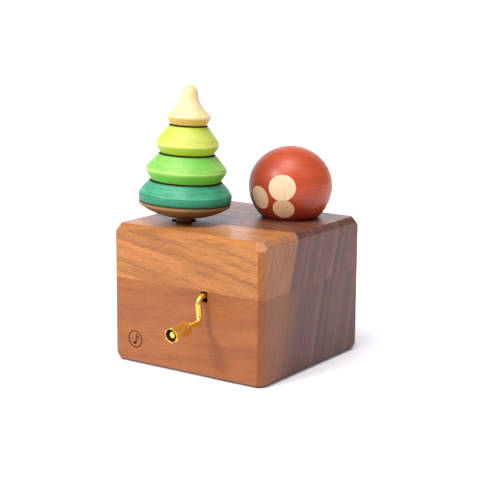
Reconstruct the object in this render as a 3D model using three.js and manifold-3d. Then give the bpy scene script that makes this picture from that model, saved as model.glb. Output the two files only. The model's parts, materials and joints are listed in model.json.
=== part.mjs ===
// Hand crank music box: a walnut box in two blocks, a comb-and-cylinder movement
// hung under the upper block, a brass crank, and two wooden tops parked in sockets.
// Millimetres, +Z up. The origin is the centre of the box's underside.
// The crank comes out of the -Y face, and the +X face shows the end grain.

import * as THREE from 'three';
import { ConvexGeometry } from 'three/addons/geometries/ConvexGeometry.js';
import { mergeVertices } from 'three/addons/utils/BufferGeometryUtils.js';
import Module from 'manifold-3d';

const wasm = await Module();
wasm.setup();

// ---- driving dimensions ----------------------------------------------------

const BOX_SIDE = 100;
const BOX_HEIGHT = 78;
const SEAM_Z = 47.8;
const EDGE_CHAMFER = 2.85;
const CORNER_REACH = 4.65;
const BASE_CHAMFER = 2.3;
const BASE_REACH = 4.2;

const POCKET_SIDE = 60;
const POCKET_FLOOR_Z = 12;
const POCKET_CEILING_Z = 64.5;

const SEAT_GAP = 0.1;
const TURNED_GAP = 0.3;
const BORE_CLEARANCE = 0.06;

const CRANK = { x: 12.9, z: 45.4, lean: 5.85, wireRadius: 1.5, armY: -55.5, throw: 13 };
const KNOB = { droop: 4, near: 10.4, far: 25.3, flats: 7.4, cornerRadius: 4.2, boreRadius: 3.1 };
const NOTCH = { width: 4.3, height: 5.8 };

const GEAR = { teeth: 20, module: 0.6, faceWidth: 2.4, hubRadius: 2.6, hubLength: 1.2 };
const WORM = { pitchRadius: 2.6, coreRadius: 2.05, threadRadius: 0.46, threadCentre: 2.45, turns: 3 };
const CYLINDER = { radius: 6.5, length: 20, y: -15, pinHeight: 0.5, pinRows: 24 };
const COMB = { teeth: 18, toothPitch: 1.06, slit: 0.3, thickness: 1, backY: 13 };
const COMB_ROOT_Y = { bass: 3.5, treble: -0.5 };
const COMB_WEIGHT = { count: 6, length: 4.2, lengthStep: 0.4, height: 2.4, heightStep: 0.2, fromTip: 1.2 };

const BEDPLATE = { thickness: 2.4, xMin: -19, xMax: 25, yMin: -28, yMax: 16 };

const SOCKET = { radius: 7, depth: 8 };
const TREE = { x: -21.85, y: -21.6, tilt: 2.68, tiltAzimuth: 34.8 };
const BALL = { x: 18.7, y: 24.3, radius: 23.6, topHeight: 22.2, centreZ: 18, lowerDepth: 23.8 };
const FOOT_RADIUS = 4.6;
const SPINDLE_RADIUS = 2.5;
const LIFT_CLEARANCE = 0.5;

// Flats sanded on the ball: bearing from -Y towards +X, elevation, and radius of the disc.
const BALL_FLATS = [
  { bearing: 21, elevation: 5.3, radius: 7.8 },
  { bearing: -15.9, elevation: -11.9, radius: 6.6 },
  { bearing: 22.4, elevation: -26.7, radius: 6.3 },
];

// Stained layers of the tree from the disc up: each has the heights and radii of its outline.
const TREE_LAYERS = [
  { name: 'tree_tier_lower', color: 0x3fae7c, outline: [[11.2, 25.3], [12.2, 25.9], [15.5, 25.9],
    [16.9, 25.0], [20.0, 22.6], [22.8, 20.0]] },
  { name: 'tree_tier_middle', color: 0xa2d864, outline: [[22.8, 19.4], [24.6, 20.4], [27.2, 22.1],
    [29.4, 22.6], [31.2, 21.2], [34.8, 18.2], [37.9, 15.4]] },
  { name: 'tree_tier_upper', color: 0xe2ea62, outline: [[37.9, 14.9], [39.8, 16.1], [42.2, 17.5],
    [43.9, 17.6], [46.4, 16.0], [50.3, 12.9], [53.7, 10.5]] },
  { name: 'tree_crown', color: 0xf6eebb, outline: [[53.7, 10.15], [55.8, 11.1], [57.8, 12.4],
    [58.9, 12.3], [60.2, 10.5], [63.0, 7.8], [65.7, 6.0], [68.5, 5.0], [71.2, 4.5], [73.4, 3.8],
    [74.9, 2.3], [75.5, 0]] },
];
const DISC = { radius: 25.5, top: 11.2, bottom: 1.98, rimHeight: 9.14, bowlPower: 2.37 };

const SCREWS = {
  box: { shankRadius: 2, length: 56, headRadius: 3.7, headHeight: 2.6 },
  movement: { shankRadius: 1.2, length: 6.6, headRadius: 2.3, headHeight: 1.4 },
  comb: { shankRadius: 1, length: 3.8, headRadius: 1.9, headHeight: 1.1 },
};
const BOX_SCREW_OFFSET = 39;
const COUNTERBORE = { radius: 4.6, depth: 10 };

const ROUND = 32;
const SMALL_ROUND = 12;

// ---- colours ---------------------------------------------------------------

const finish = (color, roughness, metalness) =>
  new THREE.MeshStandardMaterial({ color, roughness, metalness });
const walnutWarm = () => finish(0xc58a60, 0.5, 0);
const walnutRed = () => finish(0xb9805c, 0.5, 0);
const brass = () => finish(0xd9a82e, 0.25, 1);
const steel = () => finish(0xb9bcc0, 0.35, 1);
const zinc = () => finish(0x9a9da1, 0.5, 0.9);
const blackened = () => finish(0x4a4642, 0.5, 0.8);
const paleWood = () => finish(0xdcb98c, 0.6, 0);
const brownStain = () => finish(0x8a6a3d, 0.55, 0);
const rustLacquer = () => finish(0xb4472c, 0.35, 0);
const lead = () => finish(0x6d6f74, 0.6, 0.8);

// ---- solids ----------------------------------------------------------------

const degrees = THREE.MathUtils.degToRad;

function toSolid(geometry) {
  const bare = geometry.clone();
  bare.deleteAttribute('normal');
  bare.deleteAttribute('uv');
  const merged = mergeVertices(bare, 1e-4);
  const triangles = [];
  const index = merged.index.array;
  for (let i = 0; i < index.length; i += 3) {
    const [a, b, c] = index.slice(i, i + 3);
    if (a !== b && b !== c && c !== a) triangles.push(a, b, c);
  }
  return new wasm.Manifold(new wasm.Mesh({
    numProp: 3,
    vertProperties: merged.attributes.position.array,
    triVerts: Uint32Array.from(triangles),
  }));
}

function toGeometry(solid) {
  const mesh = solid.getMesh();
  const geometry = new THREE.BufferGeometry();
  geometry.setAttribute('position', new THREE.BufferAttribute(mesh.vertProperties, 3));
  geometry.setIndex(new THREE.BufferAttribute(mesh.triVerts, 1));
  geometry.computeVertexNormals();
  return geometry;
}

const cut = (solid, tools) => tools.reduce((rest, tool) => rest.subtract(tool), solid);
const join = (solids) => solids.reduce((whole, solid) => whole.add(solid));

// A solid turned about +Z from [height, radius] pairs listed upwards, closed on the axis.
function turned(outline, segments = ROUND) {
  const points = outline.map(([height, radius]) => new THREE.Vector2(radius, height));
  if (points[0].x > 0) points.unshift(new THREE.Vector2(0, points[0].y));
  if (points.at(-1).x > 0) points.push(new THREE.Vector2(0, points.at(-1).y));
  return toSolid(new THREE.LatheGeometry(points, segments).rotateX(Math.PI / 2));
}

function rod(radius, from, to, segments = SMALL_ROUND) {
  return turned([[from, radius], [to, radius]], segments);
}

function block(min, max) {
  const size = max.map((value, i) => value - min[i]);
  const centre = max.map((value, i) => (value + min[i]) / 2);
  return toSolid(new THREE.BoxGeometry(...size).translate(...centre));
}

const alongX = (solid) => solid.rotate([0, 90, 0]);
const alongY = (solid) => solid.rotate([-90, 0, 0]);

function part(name, solid, material, position = [0, 0, 0]) {
  const mesh = new THREE.Mesh(toGeometry(solid), material);
  mesh.name = name;
  mesh.position.set(...position);
  return mesh;
}

// ---- screws ----------------------------------------------------------------

// A cross-recessed screw along +Z: the head's top is at -headHeight, the tip at length.
function screwSolid({ shankRadius, length, headRadius, headHeight }) {
  const body = turned([
    [-headHeight, headRadius * 0.82], [-headHeight * 0.5, headRadius], [0, headRadius],
    [0, shankRadius], [length - shankRadius * 1.5, shankRadius], [length, shankRadius * 0.3],
  ], SMALL_ROUND);
  const reach = headRadius * 0.55;
  const width = headRadius * 0.12;
  const bottom = -headHeight * 0.45;
  return cut(body, [
    block([-reach, -width, -headHeight - 1], [reach, width, bottom]),
    block([-width, -reach, -headHeight - 1], [width, reach, bottom]),
  ]);
}

function screwHole({ shankRadius, length }, x, y, z) {
  const radius = shankRadius + BORE_CLEARANCE * 2;
  return rod(radius, -1, length + 0.4).translate([x, y, z]);
}

// ---- box -------------------------------------------------------------------

// The points of one end of a block whose edges are chamfered and whose corners are sanded off.
function chamferedEnd(z, inward, chamfer, reach) {
  const half = BOX_SIDE / 2;
  const c = EDGE_CHAMFER;
  const offsets = [
    [0, c, reach], [c, 0, reach], [0, reach, chamfer], [reach, 0, chamfer],
    [chamfer, reach, 0], [reach, chamfer, 0],
  ];
  return fourCorners(offsets.map(([x, y, depth]) => [half - x, half - y, z + inward * depth]));
}

function plainEnd(z) {
  const half = BOX_SIDE / 2;
  return fourCorners([[half, half - EDGE_CHAMFER, z], [half - EDGE_CHAMFER, half, z]]);
}

function fourCorners(points) {
  const signs = [[1, 1], [-1, 1], [1, -1], [-1, -1]];
  return signs.flatMap(([sx, sy]) =>
    points.map(([x, y, z]) => new THREE.Vector3(sx * x, sy * y, z)));
}

const boxScrewPlaces = [[1, 1], [-1, 1], [1, -1], [-1, -1]]
  .map(([sx, sy]) => [sx * BOX_SCREW_OFFSET, sy * BOX_SCREW_OFFSET]);

const halfPocket = POCKET_SIDE / 2;

function upperBlock() {
  const blank = toSolid(new ConvexGeometry([
    ...plainEnd(SEAM_Z + SEAT_GAP / 2),
    ...chamferedEnd(BOX_HEIGHT, -1, EDGE_CHAMFER, CORNER_REACH),
  ]));
  const socket = rod(SOCKET.radius, BOX_HEIGHT - SOCKET.depth, BOX_HEIGHT + 1, ROUND);
  return part('upper_block', cut(blank, [
    block([-halfPocket, -halfPocket, SEAM_Z - 1], [halfPocket, halfPocket, POCKET_CEILING_Z]),
    socket.translate([TREE.x, TREE.y, 0]),
    socket.translate([BALL.x, BALL.y, 0]),
    ...boxScrewPlaces.map(([x, y]) => screwHole(SCREWS.box, x, y, COUNTERBORE.depth)),
    ...movementScrewPlaces.map(([x, y]) => screwHole(SCREWS.movement, x, y, BEDPLATE_BOTTOM)),
  ]), walnutWarm());
}

function lowerBlock() {
  const blank = toSolid(new ConvexGeometry([
    ...chamferedEnd(0, 1, BASE_CHAMFER, BASE_REACH),
    ...plainEnd(SEAM_Z - SEAT_GAP / 2),
  ]));
  const notchHalf = NOTCH.width / 2;
  const counterbore = rod(COUNTERBORE.radius, -1, COUNTERBORE.depth, SMALL_ROUND);
  return part('lower_block', cut(blank, [
    block([-halfPocket, -halfPocket, POCKET_FLOOR_Z], [halfPocket, halfPocket, SEAM_Z + 1]),
    block([CRANK.x - notchHalf, -BOX_SIDE, SEAM_Z - NOTCH.height], [CRANK.x + notchHalf, 0, SEAM_Z + 1]),
    ...boxScrewPlaces.map(([x, y]) => counterbore.translate([x, y, 0])),
    ...boxScrewPlaces.map(([x, y]) => screwHole(SCREWS.box, x, y, COUNTERBORE.depth)),
  ]), walnutRed());
}

function boxScrews() {
  return boxScrewPlaces.map(([x, y], i) => part(`box_screw_${i + 1}`, screwSolid(SCREWS.box),
    blackened(), [x, y, COUNTERBORE.depth - SEAT_GAP]));
}

// ---- movement --------------------------------------------------------------

const BEDPLATE_TOP = POCKET_CEILING_Z - SEAT_GAP;
const BEDPLATE_BOTTOM = BEDPLATE_TOP - BEDPLATE.thickness;
const WHEEL_RADIUS = GEAR.teeth * GEAR.module / 2;
const ARBOR_Z = CRANK.z + WORM.pitchRadius + WHEEL_RADIUS;
const BARREL_MAX_X = CRANK.x - 4.4;
const BARREL_MIN_X = BARREL_MAX_X - CYLINDER.length;
const COMB_TOP = ARBOR_Z + 0.4;
const COMB_TIP_Y = CYLINDER.y + CYLINDER.radius + CYLINDER.pinHeight + 0.3;
const COMB_CENTRE_X = (BARREL_MIN_X + BARREL_MAX_X) / 2;
const COMB_HALF = COMB.teeth * COMB.toothPitch / 2;
const COMB_SEAT_Y = 5.6;
const PLATE_THICKNESS = 2;

const movementScrewPlaces = [
  [BEDPLATE.xMin + 3, BEDPLATE.yMin + 3], [BEDPLATE.xMax - 3, BEDPLATE.yMin + 3],
  [BEDPLATE.xMin + 3, BEDPLATE.yMax - 3], [BEDPLATE.xMax - 3, BEDPLATE.yMax - 3],
];
const combScrewPlaces = [-1, 0, 1]
  .map((side) => [COMB_CENTRE_X + side * COMB_HALF * 0.7, (COMB_SEAT_Y + COMB.backY) / 2]);

function bedplate() {
  const plate = block([BEDPLATE.xMin, BEDPLATE.yMin, BEDPLATE_BOTTOM],
    [BEDPLATE.xMax, BEDPLATE.yMax, BEDPLATE_TOP]);
  const combSeat = block([COMB_CENTRE_X - COMB_HALF, COMB_SEAT_Y, COMB_TOP + SEAT_GAP],
    [COMB_CENTRE_X + COMB_HALF, COMB.backY, BEDPLATE_BOTTOM + 0.5]);
  return part('movement_bedplate', cut(join([plate, combSeat]), [
    ...movementScrewPlaces.map(([x, y]) =>
      rod(SCREWS.movement.shankRadius + 0.15, BEDPLATE_BOTTOM - 1, BEDPLATE_TOP + 1)
        .translate([x, y, 0])),
    ...combScrewPlaces.map(([x, y]) =>
      screwHole(SCREWS.comb, x, y, COMB_TOP - COMB.thickness)),
  ]), zinc());
}

function movementScrews() {
  return movementScrewPlaces.map(([x, y], i) => part(`movement_screw_${i + 1}`,
    screwSolid(SCREWS.movement), steel(), [x, y, BEDPLATE_BOTTOM - SEAT_GAP]));
}

// An upright plate that hangs from the bedplate and holds a shaft in a round hole.
function bearing(name, axis, centre, shaftRadius) {
  const [x, y, z] = centre;
  const halfWidth = 4;
  const thick = PLATE_THICKNESS / 2;
  const half = axis === 'x' ? [thick, halfWidth] : [halfWidth, thick];
  const plate = block([x - half[0], y - half[1], z - halfWidth + 0.5],
    [x + half[0], y + half[1], BEDPLATE_BOTTOM - SEAT_GAP]);
  const turn = axis === 'x' ? alongX : alongY;
  const hole = turn(rod(shaftRadius + BORE_CLEARANCE, -5, 5)).translate(centre);
  return part(name, plate.subtract(hole), zinc());
}

const ARBOR = { radius: 1.2, xMin: BARREL_MIN_X - 5, xMax: CRANK.x + 6.6 };
const WORM_SHAFT = { radius: 2, yMin: -28, yMax: -3.4, boreDepth: 5 };
const WORM_BEARINGS = { front: -25, rear: -5 };

function bearings() {
  return [
    bearing('arbor_bearing_left', 'x', [ARBOR.xMin + 1.6, CYLINDER.y, ARBOR_Z], ARBOR.radius),
    bearing('arbor_bearing_right', 'x', [ARBOR.xMax - 1.6, CYLINDER.y, ARBOR_Z], ARBOR.radius),
    bearing('worm_bearing_front', 'y', [CRANK.x, WORM_BEARINGS.front, CRANK.z], WORM_SHAFT.radius),
    bearing('worm_bearing_rear', 'y', [CRANK.x, WORM_BEARINGS.rear, CRANK.z], WORM_SHAFT.radius),
  ];
}

// The slits between the teeth run deeper at the bass end, so the comb's back edge is slanted.
function comb() {
  const outline = new THREE.Shape([
    new THREE.Vector2(-COMB_HALF, COMB_ROOT_Y.bass), new THREE.Vector2(COMB_HALF, COMB_ROOT_Y.treble),
    new THREE.Vector2(COMB_HALF, COMB.backY), new THREE.Vector2(-COMB_HALF, COMB.backY),
  ]);
  const back = new THREE.ExtrudeGeometry(outline, { depth: COMB.thickness, bevelEnabled: false });
  const teeth = [];
  for (let i = 0; i < COMB.teeth; i += 1) {
    const left = -COMB_HALF + i * COMB.toothPitch + COMB.slit / 2;
    const right = left + COMB.toothPitch - COMB.slit;
    const root = THREE.MathUtils.lerp(COMB_ROOT_Y.bass, COMB_ROOT_Y.treble, i / (COMB.teeth - 1));
    teeth.push(block([left, COMB_TIP_Y, -COMB.thickness * 0.75],
      [right, root + 0.4, -COMB.thickness * 0.1]));
  }
  const holes = combScrewPlaces.map(([x, y]) =>
    rod(SCREWS.comb.shankRadius + 0.15, -3, 1).translate([x - COMB_CENTRE_X, y, 0]));
  const solid = join([toSolid(back.translate(0, 0, -COMB.thickness)), ...teeth]);
  return part('comb', cut(solid, holes), steel(), [COMB_CENTRE_X, 0, COMB_TOP]);
}

function combScrews() {
  return combScrewPlaces.map(([x, y], i) => part(`comb_screw_${i + 1}`,
    screwSolid(SCREWS.comb), steel(), [x, y, COMB_TOP - COMB.thickness - SEAT_GAP]));
}

// Tuning weights on the bass teeth, on the side that faces the bedplate.
function combWeights() {
  const halfWidth = (COMB.toothPitch - COMB.slit) / 2 - 0.04;
  return Array.from({ length: COMB_WEIGHT.count }, (_, i) => {
    const length = COMB_WEIGHT.length - i * COMB_WEIGHT.lengthStep;
    const height = COMB_WEIGHT.height - i * COMB_WEIGHT.heightStep;
    const x = COMB_CENTRE_X - COMB_HALF + (i + 0.5) * COMB.toothPitch;
    return part(`comb_weight_${i + 1}`, block([-halfWidth, 0, 0], [halfWidth, length, height]), lead(),
      [x, COMB_TIP_Y + COMB_WEIGHT.fromTip, COMB_TOP + SEAT_GAP / 2]);
  });
}

// The pinned cylinder: each note's pins stand at places given by a simple rising pattern.
function pinnedCylinder() {
  const barrel = alongX(rod(CYLINDER.radius, 0, CYLINDER.length, ROUND));
  const pins = [];
  for (let note = 0; note < COMB.teeth; note += 1) {
    for (const step of [note * 5, note * 7 + 11, note * 11 + 5]) {
      const angle = (step % CYLINDER.pinRows) * 360 / CYLINDER.pinRows;
      const x = (note + 0.5) * COMB.toothPitch + CYLINDER.length / 2 - COMB_HALF;
      const pin = block([x - 0.2, -0.2, CYLINDER.radius - 0.4],
        [x + 0.2, 0.2, CYLINDER.radius + CYLINDER.pinHeight]);
      pins.push(pin.rotate([angle, 0, 0]));
    }
  }
  const bore = alongX(rod(ARBOR.radius + BORE_CLEARANCE, -1, CYLINDER.length + 1));
  return part('pinned_cylinder', join([barrel, ...pins]).subtract(bore), brass(),
    [BARREL_MIN_X, CYLINDER.y, ARBOR_Z]);
}

function arbor() {
  return part('cylinder_arbor', alongX(rod(ARBOR.radius, ARBOR.xMin, ARBOR.xMax)), steel(),
    [0, CYLINDER.y, ARBOR_Z]);
}

// The wheel's toothed outline: a gap between two teeth faces straight down, towards the worm.
function wormWheel() {
  const shape = new THREE.Shape();
  const step = 2 * Math.PI / GEAR.teeth;
  const root = WHEEL_RADIUS - GEAR.module * 1.1;
  const tip = WHEEL_RADIUS + GEAR.module * 0.75;
  const corners = [[root, -0.22], [tip, -0.1], [tip, 0.1], [root, 0.22]];
  for (let i = 0; i < GEAR.teeth; i += 1) {
    const middle = -Math.PI / 2 + (i + 0.5) * step;
    for (const [radius, offset] of corners) {
      const angle = middle + offset * step;
      const to = [radius * Math.cos(angle), radius * Math.sin(angle)];
      if (shape.curves.length === 0 && shape.currentPoint.length() === 0) shape.moveTo(...to);
      else shape.lineTo(...to);
    }
  }
  shape.closePath();
  const blank = new THREE.ExtrudeGeometry(shape, { depth: GEAR.faceWidth, bevelEnabled: false });
  blank.translate(0, 0, -GEAR.faceWidth / 2).rotateX(Math.PI / 2).rotateZ(Math.PI / 2);
  const hub = alongX(rod(GEAR.hubRadius, -GEAR.faceWidth / 2 - GEAR.hubLength, GEAR.faceWidth / 2));
  const bore = alongX(rod(ARBOR.radius + BORE_CLEARANCE, -5, 5));
  return part('worm_wheel', join([toSolid(blank), hub]).subtract(bore), brass(),
    [CRANK.x, CYLINDER.y, ARBOR_Z]);
}

// A helix about +Y whose thread is at its highest, nearest the wheel, in the middle.
class ThreadCurve extends THREE.Curve {
  constructor(radius, pitch, turns) {
    super();
    Object.assign(this, { radius, pitch, turns });
  }

  getPoint(t, target = new THREE.Vector3()) {
    const turn = (t - 0.5) * this.turns;
    const angle = turn * 2 * Math.PI;
    return target.set(Math.sin(angle) * this.radius, turn * this.pitch, Math.cos(angle) * this.radius);
  }
}

// The single-start worm and its shaft, with a bore in the front end for the crank's wire.
function wormShaft() {
  const pitch = Math.PI * GEAR.module;
  const { coreRadius, threadRadius, threadCentre, turns } = WORM;
  const section = new THREE.Shape().absarc(0, 0, threadRadius, 0, 2 * Math.PI);
  const thread = new THREE.ExtrudeGeometry(section, {
    steps: turns * 16,
    curveSegments: 3,
    extrudePath: new ThreadCurve(threadCentre, pitch, turns),
  });
  const { radius, yMin, yMax, boreDepth } = WORM_SHAFT;
  const shaft = alongY(rod(radius, yMin - CYLINDER.y, yMax - CYLINDER.y));
  const core = alongY(rod(coreRadius, -turns * pitch / 2 - 1, turns * pitch / 2 + 1));
  const bore = alongY(rod(CRANK.wireRadius + BORE_CLEARANCE, yMin - CYLINDER.y - 1,
    yMin - CYLINDER.y + boreDepth));
  return part('worm_shaft', join([shaft, core, toSolid(thread)]).subtract(bore), brass(),
    [CRANK.x, CYLINDER.y, CRANK.z]);
}

// ---- crank -----------------------------------------------------------------

// A path through the given points whose corners are rounded over the given length.
function bentPath(points, bend) {
  const path = new THREE.CurvePath();
  let from = points[0];
  for (let i = 1; i < points.length - 1; i += 1) {
    const corner = points[i];
    const entry = corner.clone().add(points[i - 1].clone().sub(corner).setLength(bend));
    const exit = corner.clone().add(points[i + 1].clone().sub(corner).setLength(bend));
    path.add(new THREE.LineCurve3(from, entry));
    path.add(new THREE.QuadraticBezierCurve3(entry, corner, exit));
    from = exit;
  }
  path.add(new THREE.LineCurve3(from, points.at(-1)));
  return path;
}

// The crank's own frame: its origin is on the shaft's axis where the arm turns down.
const knobDirection = new THREE.Vector3(0, -Math.cos(degrees(KNOB.droop)), -Math.sin(degrees(KNOB.droop)));
const elbow = new THREE.Vector3(0, 0, -CRANK.throw);
const alongKnob = (distance) => elbow.clone().addScaledVector(knobDirection, distance);

function onKnobAxis(solid) {
  return alongY(solid).rotate([180 + KNOB.droop, 0, 0]).translate(elbow.toArray());
}

function crankWire() {
  const inner = WORM_SHAFT.yMin + WORM_SHAFT.boreDepth - 0.3 - CRANK.armY;
  const path = bentPath([
    new THREE.Vector3(0, inner, 0), new THREE.Vector3(), elbow, alongKnob(KNOB.far - 2.2),
  ], 3.2);
  const section = new THREE.Shape().absarc(0, 0, CRANK.wireRadius, 0, 2 * Math.PI);
  const wire = new THREE.ExtrudeGeometry(section, { steps: 48, curveSegments: 5, extrudePath: path });
  const peenedEnd = onKnobAxis(turned([
    [KNOB.far - 3.4, CRANK.wireRadius], [KNOB.far - 2.8, 2.1], [KNOB.far - 2.2, 2.1],
    [KNOB.far - 1.6, 1.2],
  ], SMALL_ROUND));
  return part('crank_wire', join([toSolid(wire), peenedEnd]), brass());
}

function knobCollar() {
  const outline = [[KNOB.near - 1.5, 1.9], [KNOB.near - 1.2, 2.3], [KNOB.near - 0.3, 2.3]];
  const bore = rod(CRANK.wireRadius + BORE_CLEARANCE, KNOB.near - 4, KNOB.near + 2);
  return part('knob_collar', onKnobAxis(turned(outline, SMALL_ROUND).subtract(bore)), brass());
}

// Hexagonal bar with turned ends, drilled for the wire and counterbored at the open end.
function knobSleeve() {
  const hexagon = rod(KNOB.flats / Math.sqrt(3), KNOB.near, KNOB.far, 6);
  const lathe = turned([
    [KNOB.near, 2.6], [KNOB.near + 1.4, KNOB.cornerRadius], [KNOB.far - 0.3, KNOB.cornerRadius],
    [KNOB.far, KNOB.cornerRadius - 0.3],
  ]);
  const bores = [
    rod(CRANK.wireRadius + 0.12, KNOB.near - 1, KNOB.far + 1),
    rod(KNOB.boreRadius, KNOB.far - 4, KNOB.far + 1, 24),
  ];
  return part('knob_sleeve', onKnobAxis(cut(hexagon.intersect(lathe), bores)), brass());
}

// ---- tree top --------------------------------------------------------------

const spindleBore = rod(SPINDLE_RADIUS + TURNED_GAP, -20, 66.5, SMALL_ROUND);

function treeFoot() {
  const outline = [
    [-(SOCKET.depth - LIFT_CLEARANCE), FOOT_RADIUS - 0.8], [-SOCKET.depth + 1.3, FOOT_RADIUS],
    [DISC.bottom - TURNED_GAP, FOOT_RADIUS],
  ];
  const bore = rod(SPINDLE_RADIUS + TURNED_GAP, -4.3, 10);
  return part('tree_foot', turned(outline).subtract(bore), brownStain());
}

// The disc's underside is a shallow bowl that flattens towards the foot.
function treeDisc() {
  const outline = [];
  const steps = 6;
  for (let i = 1; i <= steps; i += 1) {
    const radius = DISC.radius * i / steps;
    const rise = (DISC.rimHeight - DISC.bottom) * (i / steps) ** DISC.bowlPower;
    outline.push([DISC.bottom + rise, radius]);
  }
  outline.unshift([DISC.bottom, 0]);
  outline.push([DISC.top - TURNED_GAP, DISC.radius]);
  return part('tree_disc', turned(outline).subtract(spindleBore), brownStain());
}

function treeLayers() {
  return TREE_LAYERS.map(({ name, color, outline }) => {
    const top = outline.at(-1);
    const open = top[1] > 0 ? [...outline.slice(0, -1), [top[0] - TURNED_GAP, top[1]]] : outline;
    return part(name, turned(open).subtract(spindleBore), finish(color, 0.5, 0));
  });
}

function treeSpindle() {
  const outline = [[-4, SPINDLE_RADIUS], [66, SPINDLE_RADIUS]];
  return part('tree_spindle', turned(outline, SMALL_ROUND), paleWood());
}

// ---- ball top --------------------------------------------------------------

const BALL_BASE = SEAT_GAP;

// The upper half is slightly flatter than the lower one, which ends in a flat.
function ballBody() {
  const outline = [];
  const lowest = Math.asin((BALL.centreZ - BALL_BASE) / BALL.lowerDepth);
  const lowerSteps = 7;
  const upperSteps = 10;
  for (let i = 0; i < lowerSteps; i += 1) {
    const angle = -lowest * (1 - i / lowerSteps);
    outline.push([BALL.centreZ + BALL.lowerDepth * Math.sin(angle), BALL.radius * Math.cos(angle)]);
  }
  for (let i = 0; i <= upperSteps; i += 1) {
    const angle = Math.PI / 2 * i / upperSteps;
    const radius = i === upperSteps ? 0 : BALL.radius * Math.cos(angle);
    outline.push([BALL.centreZ + BALL.topHeight * Math.sin(angle), radius]);
  }
  const bore = rod(FOOT_RADIUS + TURNED_GAP, -1, 10);
  return part('ball_body', cut(turned(outline), [bore, ...BALL_FLATS.map(ballFlat)]), rustLacquer());
}

// The waste that sanding takes off to leave one round flat.
function ballFlat({ bearing: bearingAngle, elevation, radius }) {
  const distance = Math.sqrt(BALL.radius ** 2 - radius ** 2);
  const waste = block([-30, -30, distance], [30, 30, distance + 30]);
  return waste.rotate([90 - elevation, 0, 0]).rotate([0, 0, bearingAngle])
    .translate([0, 0, BALL.centreZ]);
}

function ballFoot() {
  const outline = [
    [-(SOCKET.depth - LIFT_CLEARANCE), FOOT_RADIUS - 0.8], [-SOCKET.depth + 1.3, FOOT_RADIUS],
    [9.6, FOOT_RADIUS],
  ];
  return part('ball_foot', turned(outline), paleWood());
}

// ---- assembly --------------------------------------------------------------

function crankGroup() {
  const group = new THREE.Group();
  group.position.set(CRANK.x, CRANK.armY, CRANK.z);
  group.rotation.y = -degrees(CRANK.lean);
  group.add(crankWire(), knobCollar(), knobSleeve());
  return group;
}

function treeGroup() {
  const group = new THREE.Group();
  const azimuth = degrees(TREE.tiltAzimuth);
  const lean = new THREE.Vector3(-Math.sin(azimuth), Math.cos(azimuth), 0);
  group.position.set(TREE.x, TREE.y, BOX_HEIGHT);
  group.quaternion.setFromAxisAngle(lean, degrees(TREE.tilt));
  group.add(treeFoot(), treeSpindle(), treeDisc(), ...treeLayers());
  return group;
}

function ballGroup() {
  const group = new THREE.Group();
  group.position.set(BALL.x, BALL.y, BOX_HEIGHT);
  group.add(ballFoot(), ballBody());
  return group;
}

const musicBox = new THREE.Group();
musicBox.add(
  upperBlock(), lowerBlock(), ...boxScrews(),
  bedplate(), ...movementScrews(), ...bearings(),
  comb(), ...combScrews(), ...combWeights(),
  pinnedCylinder(), arbor(), wormWheel(), wormShaft(),
  crankGroup(), treeGroup(), ballGroup(),
);

export default musicBox;
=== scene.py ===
"""Hand crank music box: the walnut box, brass crank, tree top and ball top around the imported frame.

Lengths are millimetres in this script and are scaled to metres when a mesh is made.
Places come from the frame: the joints' axes and points, and the nodes' boxes and outlines.
"""

import json
import math

import bmesh
import bpy
from mathutils import Matrix, Vector


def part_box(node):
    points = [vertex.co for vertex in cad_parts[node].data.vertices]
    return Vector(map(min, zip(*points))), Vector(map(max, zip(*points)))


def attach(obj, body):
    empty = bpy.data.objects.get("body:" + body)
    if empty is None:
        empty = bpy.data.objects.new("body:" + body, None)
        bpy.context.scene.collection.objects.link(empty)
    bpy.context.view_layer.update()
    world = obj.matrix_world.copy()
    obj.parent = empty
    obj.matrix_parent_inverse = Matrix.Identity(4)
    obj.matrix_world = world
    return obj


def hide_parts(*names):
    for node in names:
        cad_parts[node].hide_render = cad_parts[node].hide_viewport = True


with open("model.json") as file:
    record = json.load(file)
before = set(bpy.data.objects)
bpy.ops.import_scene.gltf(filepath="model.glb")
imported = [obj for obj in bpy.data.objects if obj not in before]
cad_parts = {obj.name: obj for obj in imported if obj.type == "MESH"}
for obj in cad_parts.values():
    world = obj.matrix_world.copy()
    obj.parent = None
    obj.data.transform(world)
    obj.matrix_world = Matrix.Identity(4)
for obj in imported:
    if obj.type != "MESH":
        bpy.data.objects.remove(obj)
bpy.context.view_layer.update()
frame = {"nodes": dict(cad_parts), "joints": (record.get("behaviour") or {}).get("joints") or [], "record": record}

MM = 0.001
ROUND = 160     # segments round a turned piece
MERGE = 0.001   # points closer than this become one

# ---- places taken from the frame ------------------------------------------------------------

joints = {joint["name"]: joint for joint in frame["joints"]}


def joint_place(name):
    """The point and direction of a joint's axis, the point in millimetres."""
    joint = joints[name]
    return Vector(joint["pos_m"]) / MM, Vector(joint["axis"]).normalized()


def axis_frame(point, axis):
    """A matrix whose +Z runs along the axis and whose origin is the point."""
    return Matrix.Translation(point) @ axis.to_track_quat("Z", "Y").to_matrix().to_4x4()


def direction(azimuth, elevation):
    """The unit vector at these angles in degrees. Azimuth 0 points at the front, and 90 at +X."""
    a, e = math.radians(azimuth), math.radians(elevation)
    return Vector((math.sin(a) * math.cos(e), -math.cos(a) * math.cos(e), math.sin(e)))


TREE_POINT, TREE_AXIS = joint_place("tree_spin")
BALL_POINT, BALL_AXIS = joint_place("ball_spin")
SHAFT_POINT, SHAFT_AXIS = joint_place("crank_turn")
ELBOW, KNOB_AXIS = joint_place("knob_spin")
TREE_FRAME = axis_frame(TREE_POINT, TREE_AXIS)
BALL_FRAME = axis_frame(BALL_POINT, BALL_AXIS)
KNOB_FRAME = axis_frame(ELBOW, KNOB_AXIS)


def node_points(node):
    """The places of a CAD node's vertices, in millimetres."""
    return [vertex.co / MM for vertex in frame["nodes"][node].data.vertices]


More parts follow.
